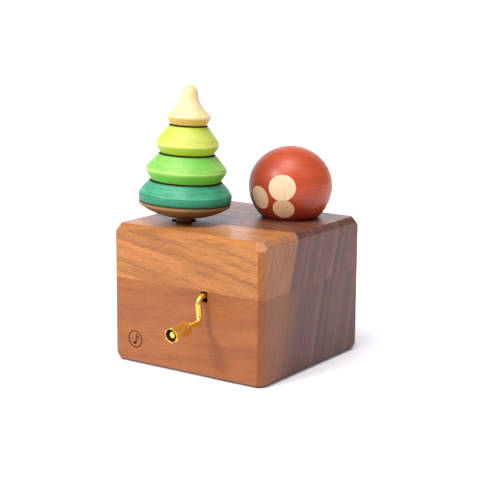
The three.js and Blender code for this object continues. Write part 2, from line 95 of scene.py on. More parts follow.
def node_outline(node, place):
    """A turned CAD node's outline as (height, widest radius) pairs listed upwards."""
    widest = {}
    inverse = place.inverted()
    for point in node_points(node):
        local = inverse @ point
        height = round(local.z, 1)
        widest[height] = max(widest.get(height, 0.0), math.hypot(local.x, local.y))
    return [(height, widest[height]) for height in sorted(widest)]


# ---- mesh helpers ---------------------------------------------------------------------------


def new_object(name, data):
    made = bpy.data.objects.new(name, data)
    bpy.context.scene.collection.objects.link(made)
    return made


def new_piece(name, mesh, body, nodes, materials):
    """A visible piece that rides on a body and stands for the CAD nodes, if there are any."""
    piece = new_object(name, mesh)
    for material in materials:
        mesh.materials.append(material)
    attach(piece, body)
    if nodes:
        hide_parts(*nodes)


def finish_mesh(name, shape, sharp_degrees=32.0):
    """A mesh in metres from a bmesh in millimetres, smooth but for its sharper edges."""
    bmesh.ops.remove_doubles(shape, verts=shape.verts, dist=MERGE)
    bmesh.ops.recalc_face_normals(shape, faces=shape.faces)
    bmesh.ops.scale(shape, vec=(MM, MM, MM), verts=shape.verts)
    limit = math.radians(sharp_degrees)
    for face in shape.faces:
        face.smooth = True
    for edge in shape.edges:
        edge.smooth = len(edge.link_faces) == 2 and edge.calc_face_angle(0.0) < limit
    mesh = bpy.data.meshes.new(name)
    shape.to_mesh(mesh)
    shape.free()
    return mesh


def rounded(points, reach, steps=5):
    """The points' path with each corner turned into a short arc that starts `reach` before it."""
    points = [Vector(point) for point in points]
    path = [points[0]]
    for i in range(1, len(points) - 1):
        corner = points[i]
        before = points[i - 1] - corner
        after = points[i + 1] - corner
        near = min(reach, before.length / 2.01, after.length / 2.01)
        start = corner + before.normalized() * near
        end = corner + after.normalized() * near
        for step in range(steps + 1):
            t = step / steps
            path.append(start.lerp(corner, t).lerp(corner.lerp(end, t), t))
    path.append(points[-1])
    return path


def revolve(outline, place, segments=ROUND, closed=False, radius_at=None):
    """A turned solid from (height, radius) pairs. A closed outline makes a ring round the axis.
    radius_at can change the radius with the angle."""
    shape = bmesh.new()
    rings = []
    for height, radius in outline:
        if radius < 1e-6:
            rings.append([shape.verts.new(place @ Vector((0, 0, height)))])
            continue
        ring = []
        for i in range(segments):
            angle = 2 * math.pi * i / segments
            r = radius_at(radius, angle) if radius_at else radius
            local = Vector((r * math.cos(angle), r * math.sin(angle), height))
            ring.append(shape.verts.new(place @ local))
        rings.append(ring)
    for low, high in zip(rings, rings[1:] + (rings[:1] if closed else [])):
        join_rings(shape, low, high, segments)
    return shape


def join_rings(shape, low, high, segments):
    """The faces between two rings. A ring of one point is the tip of a cone."""
    for i in range(segments):
        k = (i + 1) % segments
        if len(low) == 1:
            shape.faces.new((low[0], high[k], high[i]))
        elif len(high) == 1:
            shape.faces.new((low[i], low[k], high[0]))
        else:
            shape.faces.new((low[i], low[k], high[k], high[i]))


def swept(path, radius, sides=28):
    """A round rod along a path in space, with flat ends."""
    shape = bmesh.new()
    tangents = [(b - a).normalized() for a, b in zip(path, path[1:])]
    tangents.append(tangents[-1])
    normal = tangents[0].orthogonal().normalized()
    rings = []
    for i, (point, tangent) in enumerate(zip(path, tangents)):
        along = (tangent + tangents[max(i - 1, 0)]).normalized()
        normal = (normal - along * normal.dot(along)).normalized()
        side = along.cross(normal)
        ring = []
        for k in range(sides):
            angle = 2 * math.pi * k / sides
            outward = normal * math.cos(angle) + side * math.sin(angle)
            ring.append(shape.verts.new(point + outward * radius))
        rings.append(ring)
    for low, high in zip(rings, rings[1:]):
        join_rings(shape, low, high, sides)
    for ring, tip in ((rings[0], path[0]), (rings[-1], path[-1])):
        centre = shape.verts.new(tip)
        for k in range(sides):
            shape.faces.new((ring[k], ring[(k + 1) % sides], centre))
    return shape


def boolean(piece_mesh, tool):
    """The piece with the tool cut out of it. The cut's walls take the tool's material."""
    body = new_object("cut_body", piece_mesh)
    tool_object = new_object("cut_tool", tool)
    cut = body.modifiers.new("cut", "BOOLEAN")
    cut.operation = "DIFFERENCE"
    cut.solver = "EXACT"
    cut.use_self = True
    cut.material_mode = "TRANSFER"
    cut.object = tool_object
    bpy.context.view_layer.update()
    graph = bpy.context.evaluated_depsgraph_get()
    result = bpy.data.meshes.new_from_object(body.evaluated_get(graph), depsgraph=graph)
    for obj in (body, tool_object):
        bpy.data.objects.remove(obj)
    shape = bmesh.new()
    shape.from_mesh(result)
    bmesh.ops.remove_doubles(shape, verts=shape.verts, dist=MERGE * MM)
    bmesh.ops.dissolve_degenerate(shape, edges=shape.edges, dist=MERGE * MM)
    shape.to_mesh(result)
    shape.free()
    return result


# ---- node material helpers ------------------------------------------------------------------


def put(tree, socket, value):
    """Links the socket to another one, or sets its value."""
    if isinstance(value, bpy.types.NodeSocket):
        tree.links.new(value, socket)
    else:
        socket.default_value = value


def add_node(tree, kind, inputs=None, **settings):
    """Adds a node, with links or values for its inputs and settings for its own properties."""
    node = tree.nodes.new(kind)
    for key, value in settings.items():
        setattr(node, key, value)
    for key, value in (inputs or {}).items():
        put(tree, node.inputs[key], value)
    return node


class Finish:
    """A Principled material, with short ways to add nodes to it. Patterns are in millimetres."""

    def __init__(self, name, **constants):
        self.material = bpy.data.materials.new(name)
        self.material.use_nodes = True
        self.tree = self.material.node_tree
        self.shader = self.tree.nodes["Principled BSDF"]
        for key, value in constants.items():
            self.shader.inputs[key.replace("_", " ")].default_value = value
        coordinates = self.add("ShaderNodeTexCoord").outputs
        self.normal = coordinates["Normal"]
        self.point = self.scaled(coordinates["Object"], (1 / MM,) * 3)

    def add(self, kind, inputs=None, **settings):
        return add_node(self.tree, kind, inputs, **settings)

    def vector_math(self, operation, a, b):
        return self.add("ShaderNodeVectorMath", {0: a, 1: b}, operation=operation).outputs

    def scaled(self, vector, factors):
        return self.vector_math("MULTIPLY", vector, factors)[0]

    def along(self, vector, axis):
        return self.vector_math("DOT_PRODUCT", vector, axis)["Value"]

    def math(self, operation, a, b=0.0, c=0.0, clamp=False):
        node = self.add("ShaderNodeMath", {0: a, 1: b, 2: c}, operation=operation, use_clamp=clamp)
        return node.outputs[0]

    def noise(self, vector, detail=3.0, roughness=0.55, scale=1.0):
        node = self.add("ShaderNodeTexNoise", {"Vector": vector, "Scale": scale, "Detail": detail,
                                               "Roughness": roughness})
        return node.outputs["Fac"]

    def noise_line(self, value, scale, detail=2.0, roughness=0.5):
        """Noise that changes with one number only."""
        node = self.add("ShaderNodeTexNoise", {"W": value, "Scale": scale, "Detail": detail,
                                               "Roughness": roughness}, noise_dimensions="1D")
        return node.outputs["Fac"]

    def wander(self, vector, scale, amount):
        """The vector, moved about by soft noise."""
        node = self.add("ShaderNodeTexNoise", {"Vector": vector, "Scale": scale, "Detail": 1.5})
        centred = self.vector_math("SUBTRACT", node.outputs["Color"], (0.5,) * 3)[0]
        return self.vector_math("ADD", vector, self.scaled(centred, (amount,) * 3))[0]

    def ease(self, value, low, high, to_low=0.0, to_high=1.0):
        """value between low and high, smoothly turned into to_low up to to_high."""
        node = self.add("ShaderNodeMapRange", {"Value": value, "From Min": low, "From Max": high,
                                               "To Min": to_low, "To Max": to_high},
                        interpolation_type="SMOOTHSTEP")
        return node.outputs[0]

    def mix(self, factor, a, b, blend_type="MIX"):
        node = self.add("ShaderNodeMix", data_type="RGBA", blend_type=blend_type)
        sockets = [s for s in node.inputs if s.type == "RGBA"]
        put(self.tree, node.inputs["Factor"], factor)
        put(self.tree, sockets[0], a)
        put(self.tree, sockets[1], b)
        return next(s for s in node.outputs if s.type == "RGBA")

    def bump(self, height, distance, strength):
        """distance is the height of the relief in millimetres."""
        inputs = {"Height": height, "Distance": distance * MM, "Strength": strength}
        return self.add("ShaderNodeBump", inputs).outputs[0]

    def axis_point(self, place):
        """The pattern's coordinates in the frame of a turned piece, in millimetres."""
        node = self.add("ShaderNodeMapping", {"Vector": self.point, "Location": place.to_translation(),
                                              "Rotation": place.to_euler()}, vector_type="TEXTURE")
        return node.outputs[0]

    def done(self, color, roughness, normal=None):
        put(self.tree, self.shader.inputs["Base Color"], color)
        put(self.tree, self.shader.inputs["Roughness"], roughness)
        if normal is not None:
            put(self.tree, self.shader.inputs["Normal"], normal)
        return self.material


def rgba(red, green, blue):
    return (red, green, blue, 1.0)


# ---- wood -----------------------------------------------------------------------------------

WARM_WALNUT = {
    "light": rgba(0.570, 0.215, 0.056), "streak": rgba(0.215, 0.078, 0.026),
    "pore": rgba(0.125, 0.044, 0.020),
    "heart_light": rgba(0.325, 0.100, 0.056), "heart_dark": rgba(0.130, 0.042, 0.031),
    "heart_line": rgba(0.050, 0.026, 0.026), "edge": rgba(0.270, 0.082, 0.014),
}
RED_WALNUT = {
    "light": rgba(0.385, 0.122, 0.030), "streak": rgba(0.215, 0.064, 0.020),
    "pore": rgba(0.140, 0.042, 0.016),
    "heart_light": rgba(0.232, 0.076, 0.045), "heart_dark": rgba(0.092, 0.033, 0.029),
    "heart_line": rgba(0.055, 0.026, 0.024), "edge": rgba(0.215, 0.062, 0.012),
}
# Along the rings' normal: the gap between rings, the depths where heartwood starts and is full, and the
# width of its first dark band. The rest are strengths.
UPPER_GRAIN = {"normal": (-0.052, 0.949, -0.31), "gap": 1.9, "heart": (-41.5, -38.8), "band": 7.0,
               "latewood": 0.72, "swirl": 3.2, "warm": 0.10, "pores": 0.50}
LOWER_GRAIN = {"normal": (0.02, 0.972, -0.23), "gap": 2.6, "heart": (-41.5, -13.3), "band": 0.5,
               "latewood": 0.42, "swirl": 2.2, "warm": 0.22, "pores": 0.35}
END_GRAIN = rgba(0.74, 0.72, 0.86)
BASE_SHADE = rgba(0.030, 0.012, 0.012)
SANDED_AND_SHEEN = rgba(0.66, 0.34, 0.20)


def walnut(name, colors, grain):
    """Oiled walnut whose fibres run along X. The rings are warped planes across the grain's normal.
    Orange sapwood is in front and turns to purple-brown heartwood over the depths of grain["heart"]."""
    f = Finish(name, Specular_IOR_Level=0.32, IOR=1.5, Coat_Weight=0.08, Coat_Roughness=0.24)
    slow = f.wander(f.point, 0.016, grain["swirl"])
    warped = f.wander(slow, 0.12, 0.7)
    depth = f.along(warped, grain["normal"])
    along_x = f.along(warped, (1, 0, 0))
    along_z = f.along(warped, (0, 0, 1))

    # Each ring darkens slowly and ends in its latewood, which comes and goes along the board.
    ring = f.math("FRACT", f.math("DIVIDE", depth, grain["gap"]))
    ring_edge = f.math("MULTIPLY", f.math("POWER", ring, 1.8), f.ease(ring, 0.80, 1.0, 1.0, 0.0))
    ring_strength = f.noise_line(depth, 0.42, 1.0)
    patchy = f.noise(f.scaled(f.point, (0.022, 0.10, 0.10)), 2.0)
    latewood = f.math("MULTIPLY", ring_edge, f.ease(f.math("ADD", ring_strength, patchy), 0.78, 1.16))

    # Thin layers parallel to the rings, fibres along X, and short dark pores.
    layer_point = f.add("ShaderNodeCombineXYZ", {0: f.math("MULTIPLY", along_x, 0.020),
                                                 1: f.math("MULTIPLY", along_z, 0.035),
                                                 2: f.math("MULTIPLY", depth, 0.62)}).outputs[0]
    layers = f.noise(layer_point, 3.0, 0.62)
    fibre = f.noise(f.scaled(warped, (0.05, 1.3, 1.3)), 3.0, 0.6)
    fine_fibre = f.noise(f.scaled(f.point, (0.13, 3.2, 3.2)), 2.0, 0.6)
    cloud = f.noise(f.scaled(slow, (0.018, 0.05, 0.05)), 2.0)
    pore_field = f.noise(f.scaled(warped, (0.30, 2.9, 2.9)), 1.0, 0.5)
    pore_limit = f.math("SUBTRACT", 0.64, f.math("MULTIPLY", latewood, 0.12))
    pores = f.ease(f.math("SUBTRACT", pore_field, pore_limit), -0.03, 0.08)

    heart_from, heart_to = grain["heart"]
    rough_depth = f.math("ADD", depth, f.math("MULTIPLY", fibre, 1.6))
    heart = f.ease(rough_depth, heart_from, heart_to)
    bands = f.noise_line(depth, 0.16, 2.0, 0.5)
    first_band = f.ease(rough_depth, heart_to, heart_to + grain["band"], 0.75, 0.0)
    fine_bands = f.noise_line(depth, 0.50, 2.0, 0.6)
    heart_color = f.mix(f.ease(bands, 0.36, 0.62), colors["heart_light"], colors["heart_dark"])
    heart_color = f.mix(f.ease(fine_bands, 0.42, 0.66, 0.0, 0.62), heart_color, colors["heart_line"])
    heart_color = f.mix(first_band, heart_color, colors["heart_dark"])
    heart_color = f.mix(f.ease(bands, 0.26, 0.42, grain["warm"], 0.0), heart_color, colors["light"])
    tone = f.mix(heart, colors["light"], heart_color)
    tone = f.mix(f.ease(cloud, 0.35, 0.75, 0.0, 0.28), tone, colors["streak"])
    tone = f.mix(f.ease(layers, 0.40, 0.74, 0.0, 0.55), tone, colors["streak"])
    tone = f.mix(f.ease(fibre, 0.42, 0.78, 0.0, 0.42), tone, colors["streak"])
    tone = f.mix(f.ease(fine_fibre, 0.45, 0.80, 0.0, 0.30), tone, colors["pore"])
    line_color = f.mix(heart, colors["streak"], colors["heart_line"])
    line_depth = f.math("MULTIPLY_ADD", heart, 0.30, grain["latewood"])
    tone = f.mix(f.math("MULTIPLY", latewood, line_depth, clamp=True), tone, line_color)
    tone = f.mix(f.math("MULTIPLY", pores, grain["pores"]), tone, colors["pore"])

    # End grain and the planed upright edges took more oil. The corner facets get a paler painted
    # reflection, and the sapwood's upper edges across the grain are sanded paler.
    facing_x, facing_y, facing_z = f.add("ShaderNodeSeparateXYZ", {0: f.normal}).outputs
    across = f.math("ABSOLUTE", facing_x)
    slant = f.math("ABSOLUTE", f.math("MULTIPLY", facing_x, facing_y))
    steep = f.math("ABSOLUTE", facing_z)
    corner = f.math("MULTIPLY", f.ease(slant, 0.15, 0.40), f.ease(steep, 0.2, 0.4, 1.0, 0.0))
    end_grain = f.math("SUBTRACT", f.ease(across, 0.45, 0.72), corner, clamp=True)
    tone = f.mix(end_grain, tone, END_GRAIN, "MULTIPLY")
    tone = f.mix(f.math("MULTIPLY", corner, 0.64), tone, colors["edge"])
    # Painted reflection of the light above, on the corner facets.
    facet_reflection = f.ease(f.math("MULTIPLY", slant, facing_z), 0.06, 0.14, 0.0, 0.27)
    tone = f.mix(facet_reflection, tone, SANDED_AND_SHEEN)
    ridge = f.ease(f.math("MULTIPLY", across, facing_z), 0.37, 0.47, 0.0, 0.20)
    tone = f.mix(f.math("MULTIPLY", ridge, f.math("SUBTRACT", 1.0, heart)), tone, SANDED_AND_SHEEN)
    # Painted contact shade: darker along the bottom edge, where the box stands on the floor.
    height = f.along(f.point, (0, 0, 1))
    tone = f.mix(f.ease(height, 0.35, 1.5, 0.85, 0.0), tone, BASE_SHADE)

    rough = f.math("ADD", f.ease(fibre, 0.3, 0.8, 0.32, 0.44), f.math("MULTIPLY", pores, 0.22))
    relief = f.math("SUBTRACT", f.math("MULTIPLY", fine_fibre, 0.35), pores)
    return f.done(tone, rough, f.bump(relief, 0.035, 0.6))


def burnt_wood_and_shade():
    """Charred wood, for the tree's joint lines and the mark. On the notch's walls it is painted shade."""
    f = Finish("burnt_wood_and_shade", Specular_IOR_Level=0.3)
    char = f.noise(f.point, 4.0, 0.6, scale=2.2)
    color = f.mix(f.ease(char, 0.3, 0.8), rgba(0.020, 0.009, 0.008), rgba(0.052, 0.022, 0.016))
    return f.done(color, f.ease(char, 0.2, 0.8, 0.6, 0.85), f.bump(char, 0.05, 0.6))


TOOL_FEED = 0.62    # the lathe tool's travel in one turn


def turned_wood(name, place, light, dark, edge_dark, heights, shade_reach=2.4, rim=1.0, line_at=None):
    """Stained maple turned on a lathe: streaks round the axis, the wood's own flecks along it, and
    painted shade on the undersides and towards both ends, where the pieces meet. The argument after
    heights is how far that shade reaches up from the lower end. A rim above 1 paints light on the outer
    edge, and line_at is the height of a dark line."""
    f = Finish(name, Specular_IOR_Level=0.3, Coat_Weight=0.04, Coat_Roughness=0.28)
    local = f.axis_point(place)
    height = f.along(local, (0, 0, 1))
    lines = f.noise(f.scaled(local, (0.030, 0.030, 2.1)), 4.0, 0.62)
    soft_lines = f.noise(f.scaled(local, (0.020, 0.020, 0.42)), 2.0, 0.5)
    fibre = f.noise(f.scaled(local, (1.4, 1.4, 0.30)), 3.0, 0.6)
    blotch = f.noise(f.scaled(local, (0.09, 0.09, 0.11)), 2.0, 0.5)
    tool_marks = f.math("SINE", f.math("MULTIPLY", height, 2 * math.pi / TOOL_FEED))

    color = f.mix(f.ease(lines, 0.34, 0.70, 0.0, 0.42), light, dark)
    color = f.mix(f.ease(soft_lines, 0.38, 0.68, 0.0, 0.42), color, dark)
    color = f.mix(f.ease(blotch, 0.45, 0.72, 0.0, 0.40), color, dark)
    color = f.mix(f.ease(fibre, 0.44, 0.74, 0.0, 0.40), color, dark)
    facing = f.along(f.normal, place.to_quaternion() @ Vector((0, 0, 1)))
    # Painted light on the outer edge.
    if rim > 1:
        outward = f.math("MULTIPLY", f.ease(facing, 0.40, 0.12, 0.0, 0.85), f.ease(facing, -0.25, -0.05))
        color = f.mix(outward, color, rgba(*(channel * rim for channel in light[:3])))
    # Painted shade on the faces that look down.
    color = f.mix(f.ease(facing, -0.05, -0.50, 0.0, 0.80), color, edge_dark)
    # Painted shade towards both ends, where the pieces meet.
    low, high = heights
    end_shade = f.math("ADD", f.ease(height, low + shade_reach, low, 0.0, 0.7),
                    f.ease(height, high - 2.2, high, 0.0, 0.40))
    color = f.mix(end_shade, color, edge_dark)
    if line_at:
        from_line = f.math("ABSOLUTE", f.math("SUBTRACT", height, line_at))
        color = f.mix(f.ease(from_line, 0.15, 0.55, 0.55, 0.0), color, edge_dark)
    roughness = f.ease(lines, 0.25, 0.8, 0.36, 0.54)
    streaks = f.math("ADD", lines, f.math("MULTIPLY", fibre, 0.6))
    relief = f.math("ADD", f.math("MULTIPLY", tool_marks, 0.18), streaks)
    return f.done(color, roughness, f.bump(relief, 0.035, 0.55))


SHADED = Vector((-0.82, -0.57, 0))    # towards the side of the ball that gets painted shade, darker and duller


def lacquer(place):
    """Rust-red lacquer over turned wood, with painted shade towards the base and on its shaded side."""
    f = Finish("rust_lacquer", Specular_IOR_Level=0.38, Coat_Weight=0.08, Coat_Roughness=0.28)
    local = f.axis_point(place)
    lines = f.noise(f.scaled(local, (0.030, 0.030, 2.3)), 4.0, 0.65)
    wide = f.noise(f.scaled(local, (0.022, 0.022, 0.45)), 2.0, 0.5)
    blotch = f.noise(local, 2.0, 0.5, scale=0.07)
    scuff = f.noise(f.scaled(f.wander(local, 0.3, 1.5), (0.5, 0.5, 3.0)), 2.0, 0.6)
    color = f.mix(f.ease(lines, 0.32, 0.72, 0.0, 0.42), rgba(0.510, 0.072, 0.020),
                  rgba(0.275, 0.028, 0.008))
    color = f.mix(f.ease(wide, 0.38, 0.70, 0.0, 0.18), color, rgba(0.310, 0.030, 0.009))
    color = f.mix(f.ease(blotch, 0.50, 0.72, 0.0, 0.30), color, rgba(0.620, 0.110, 0.028))
    # Painted shade towards the base.
    rising = f.along(local, (0, 0, 1))
    color = f.mix(f.ease(rising, 19.0, 0.0, 0.0, 0.75), color, rgba(0.200, 0.012, 0.004))
    # Painted shade on the shaded side.
    sideways = f.math("SUBTRACT", f.along(f.point, SHADED), place.to_translation().dot(SHADED))
    color = f.mix(f.ease(sideways, 2.0, 20.0, 0.0, 0.60), color, rgba(0.175, 0.020, 0.012))
    color = f.mix(f.ease(scuff, 0.72, 0.80, 0.0, 0.30), color, rgba(0.700, 0.180, 0.070))
    relief = f.math("ADD", lines, f.math("MULTIPLY", scuff, 0.4))
    return f.done(color, f.ease(lines, 0.25, 0.8, 0.34, 0.46), f.bump(relief, 0.025, 0.5))


def bare_wood(name):
    """Sanded light wood, with fine fibres and short flecks. Faces that lean down take a painted orange
    reflection of the box below, and faces on the shaded side take painted shade."""
    f = Finish(name, Specular_IOR_Level=0.35)
    wave = f.wander(f.point, 0.05, 2.0)
    fibre = f.noise(f.scaled(wave, (1.5, 1.5, 0.10)), 3.0, 0.6)
    fleck = f.noise(f.scaled(wave, (2.4, 2.4, 0.8)), 1.0)
    color = f.mix(f.ease(fibre, 0.38, 0.72, 0.0, 0.50), rgba(0.79, 0.595, 0.385),
                  rgba(0.64, 0.425, 0.225))
    color = f.mix(f.ease(fleck, 0.66, 0.74, 0.0, 0.35), color, rgba(0.50, 0.30, 0.16))
    # Painted reflection of the orange box on the faces that lean down.
    painted_bounce = f.ease(f.along(f.normal, (0, 0, 1)), -0.30, -0.42, 0.0, 0.5)
    color = f.mix(painted_bounce, color, rgba(0.95, 0.49, 0.21))
    # Painted shade on the shaded side.
    painted_shade = f.ease(f.along(f.normal, SHADED), 0.45, 0.70, 0.0, 0.5)
    color = f.mix(painted_shade, color, rgba(0.57, 0.345, 0.18))
    return f.done(color, f.ease(fibre, 0.2, 0.8, 0.5, 0.68), f.bump(fibre, 0.03, 0.5))


# ---- metal ----------------------------------------------------------------------------------


def metal(name, color, worn, roughness, grain, scratch=0.5):
    """Metal with a patchy finish, fine scratches stretched by grain, and uneven gloss."""
    f = Finish(name, Metallic=1.0)
    patch = f.noise(f.point, 3.0, 0.6, scale=0.35)
    fine = f.noise(f.scaled(f.wander(f.point, 0.2, 1.0), grain), 3.0, 0.65)
    speck = f.noise(f.point, 1.0, 0.5, scale=1.6)
    mixed = f.mix(f.ease(patch, 0.35, 0.75, 0.0, 0.6), color, worn)
    mixed = f.mix(f.ease(speck, 0.72, 0.82, 0.0, 0.30), mixed, worn)
    rough = f.math("ADD", f.ease(patch, 0.3, 0.8, roughness * 0.8, roughness * 1.25),
                   f.ease(fine, 0.4, 0.9, 0.0, 0.12))
    relief = f.math("ADD", f.math("MULTIPLY", fine, scratch), f.math("MULTIPLY", speck, 0.10))
    return f.done(mixed, rough, f.bump(relief, 0.006, 0.5))


def hexagon_brass(place):
    """Brass bar stock drawn along its axis, with a painted highlight along its six corners."""
    f = Finish("hexagon_brass", Metallic=1.0)
    local = f.axis_point(place)
    angle = f.math("ARCTAN2", f.along(local, (0, 1, 0)), f.along(local, (1, 0, 0)))
    sixth = f.math("FRACT", f.math("ADD", f.math("DIVIDE", angle, math.pi / 3), 6.5))
    from_middle = f.math("ABSOLUTE", f.math("SUBTRACT", sixth, 0.5))
    # Painted highlight along the six corners.
    corner_highlight = f.ease(from_middle, 0.40, 0.485)
    drawn = f.noise(f.scaled(local, (1.9, 1.9, 0.10)), 3.0, 0.6)
    patch = f.noise(local, 3.0, 0.6, scale=0.30)
    color = f.mix(f.ease(drawn, 0.32, 0.68), rgba(0.96, 0.66, 0.15), rgba(0.66, 0.38, 0.055))
    color = f.mix(f.ease(patch, 0.42, 0.75, 0.0, 0.5), color, rgba(0.56, 0.30, 0.045))
    color = f.mix(f.math("MULTIPLY", corner_highlight, 0.85), color, rgba(1.0, 0.86, 0.38))
    rough = f.ease(drawn, 0.3, 0.8, 0.26, 0.42)
    return f.done(color, rough, f.bump(drawn, 0.010, 0.5))


# ---- materials ------------------------------------------------------------------------------

# Those named after a slot are also put on the CAD nodes that keep their shape.
MATERIALS = {
    "walnut_upper": walnut("walnut_upper", WARM_WALNUT, UPPER_GRAIN),
    "walnut_lower": walnut("walnut_lower", RED_WALNUT, LOWER_GRAIN),
    "blackened_steel": metal("blackened_steel", rgba(0.060, 0.056, 0.052), rgba(0.16, 0.14, 0.12),
                             0.42, (1.0, 1.0, 5.0)),
    "zinc": metal("zinc", rgba(0.50, 0.51, 0.53), rgba(0.36, 0.37, 0.38), 0.46, (1.2, 1.2, 1.2)),
    "steel": metal("steel", rgba(0.62, 0.62, 0.63), rgba(0.46, 0.45, 0.44), 0.26, (0.4, 6.0, 6.0)),
    "lead": metal("lead", rgba(0.20, 0.21, 0.23), rgba(0.32, 0.32, 0.33), 0.55, (2.0, 2.0, 2.0)),
    "brass": metal("brass", rgba(0.97, 0.70, 0.16), rgba(0.82, 0.53, 0.10), 0.34, (0.25, 0.25, 2.5),
                   0.10),
    "hexagon_brass": hexagon_brass(KNOB_FRAME),
    # Dark brass for the inside of the counterbore: painted shade in the hollow.
    "bore_shade_brass": metal("bore_shade_brass", rgba(0.22, 0.11, 0.035), rgba(0.12, 0.055, 0.02),
                             0.50, (0.6, 6.0, 6.0), 0.35),
    "pale_wood": bare_wood("pale_wood"),
    "bare_wood": bare_wood("bare_wood"),
    "burnt_wood_and_shade": burnt_wood_and_shade(),
    "rust_lacquer": lacquer(BALL_FRAME),
}

# By slot. Each tree piece gets a material of its own, made for its heights.
# A rim above 1 paints light on the outer edge. The teal's longer reach carries the painted shade further up from
# its lower end.
TREE_STAINS = {
    "brown_stain": {"light": rgba(0.390, 0.225, 0.075), "dark": rgba(0.165, 0.084, 0.025),
                    "edge_dark": rgba(0.140, 0.066, 0.018)},
    "teal_stain": {"light": rgba(0.100, 0.440, 0.265), "dark": rgba(0.004, 0.190, 0.090),
                   "edge_dark": rgba(0.002, 0.150, 0.066), "shade_reach": 6.5},
    "green_stain": {"light": rgba(0.350, 0.610, 0.135), "dark": rgba(0.085, 0.430, 0.042),
                    "edge_dark": rgba(0.110, 0.470, 0.020), "rim": 1.3},
    "yellow_stain": {"light": rgba(0.610, 0.640, 0.145), "dark": rgba(0.400, 0.520, 0.032),
                     "edge_dark": rgba(0.330, 0.520, 0.010), "rim": 1.3},
    "cream_stain": {"light": rgba(0.840, 0.700, 0.405), "dark": rgba(0.730, 0.560, 0.235),
                    "edge_dark": rgba(0.600, 0.380, 0.030)},
}
# A lighter copy of the brown stain: painted light on the foot, which stands in the disc's shade.
LIT_FOOT_STAIN = {"light": rgba(0.420, 0.230, 0.085), "dark": rgba(0.220, 0.105, 0.036),
              "edge_dark": rgba(0.220, 0.105, 0.036)}


# ---- box ------------------------------------------------------------------------------------

EDGE_ROUNDING = 0.35
SEAM_REACH = 0.2    # CAD corners this close to the seam lie on it
SEAM_GAP = 0.005    # from each visual block to the seam
POCKET = {"half": 30.0, "floor": 12.0, "ceiling": 64.5}
SOCKET = {"radius": 7.0, "depth": 8.0, "rim": 0.35, "floor_chamfer": 0.4}
COUNTERBORE = {"radius": 4.6, "depth": 10.0}
NOTCH = {"width": 4.3, "height": 5.8}
SCREW_HOLE = {"radius": 2.12, "past_tip": 0.4}
CLEAR = 1.0         # how far a cutting tool reaches out of the wood
MARK = {"x": -34.3, "z": 14.0, "outer": 4.9, "line": 0.62, "depth": 0.35}

BOX_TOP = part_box("upper_block")[1].z / MM
SEAM = (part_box("upper_block")[0].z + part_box("lower_block")[1].z) / 2 / MM
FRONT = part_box("upper_block")[0].y / MM
BOX_SCREWS = [f"box_screw_{i}" for i in (1, 2, 3, 4)]


def centre_of(node):
    low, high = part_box(node)
    return (low + high) / 2 / MM


def block_mesh(name, node, materials):
    """The CAD block's outer shape, with its pockets filled, its face at the seam moved to the seam,
    and its other edges softened."""
    shape = bmesh.new()
    for point in node_points(node):
        if abs(point.z - SEAM) < SEAM_REACH:
            point.z = SEAM + math.copysign(SEAM_GAP, point.z - SEAM)
        shape.verts.new(point)
    hull = bmesh.ops.convex_hull(shape, input=shape.verts)
    inside = hull["geom_interior"] + hull["geom_unused"]
    spare = {vertex for vertex in inside if isinstance(vertex, bmesh.types.BMVert)}
    bmesh.ops.delete(shape, geom=list(spare), context="VERTS")
    bmesh.ops.dissolve_limit(shape, angle_limit=math.radians(1), verts=shape.verts, edges=shape.edges)
    edges = [edge for edge in shape.edges if edge.calc_face_angle(0.0) > math.radians(20)
             and any(abs(v.co.z - SEAM) > SEAM_REACH for v in edge.verts)]
    bmesh.ops.bevel(shape, geom=edges, offset=EDGE_ROUNDING, segments=3, profile=0.5, affect="EDGES",
                    clamp_overlap=True)
    mesh = finish_mesh(name, shape, 24)
    for material in materials:
        mesh.materials.append(material)
    return mesh


def tool_mesh(shape, material):
    mesh = finish_mesh("tool", shape)
    mesh.materials.append(material)
    return mesh


def box_tool(low, high, material):
    shape = bmesh.new()
    bmesh.ops.create_cube(shape, size=1.0)
    size = Vector(high) - Vector(low)
    for vertex in shape.verts:
        vertex.co = Vector(low) + Vector([size[i] * (vertex.co[i] + 0.5) for i in range(3)])
    return tool_mesh(shape, material)


def hole_tool(outline, place, segments, material):
    """An upright hole through a place, from the (height, radius) pairs of its wall."""
    whole = [(outline[0][0], 0.0), *outline, (outline[-1][0], 0.0)]
    upright = Matrix.Translation((place.x, place.y, 0))
    return tool_mesh(revolve(whole, upright, segments), material)


def socket_tool(place, material):
    """A blind socket in the top, with a small chamfer at its rim and at its floor."""
    bottom = BOX_TOP - SOCKET["depth"]
    radius, rim, chamfer = SOCKET["radius"], SOCKET["rim"], SOCKET["floor_chamfer"]
    outline = [(bottom, radius - chamfer), (bottom + chamfer, radius), (BOX_TOP - rim, radius),
               (BOX_TOP + CLEAR, radius + rim + CLEAR)]
    return hole_tool(outline, place, 128, material)


def prism_tool(outline, material):
    """A flat outline on the front face, as (x, z) pairs, pushed into the wood by the mark's depth."""
    shape = bmesh.new()
    front = [shape.verts.new((x, FRONT - CLEAR, z)) for x, z in outline]
    back = [shape.verts.new((x, FRONT + MARK["depth"], z)) for x, z in outline]
    shape.faces.new(front)
    shape.faces.new(back[::-1])
    for i in range(len(front)):
        k = (i + 1) % len(front)
        shape.faces.new((front[i], back[i], back[k], front[k]))
    return tool_mesh(shape, material)


def ring_tool(material):
    """The mark's ring, as a turned tool whose axis points at the front face."""
    centre = Vector((MARK["x"], FRONT, MARK["z"]))
    place = Matrix.Translation(centre) @ Matrix.Rotation(math.radians(90), 4, "X")
    outer, inner, depth = MARK["outer"], MARK["outer"] - MARK["line"], MARK["depth"]
    loop = [(-depth, inner), (-depth, outer), (CLEAR, outer), (CLEAR, inner)]
    return tool_mesh(revolve(loop, place, 96, closed=True), material)


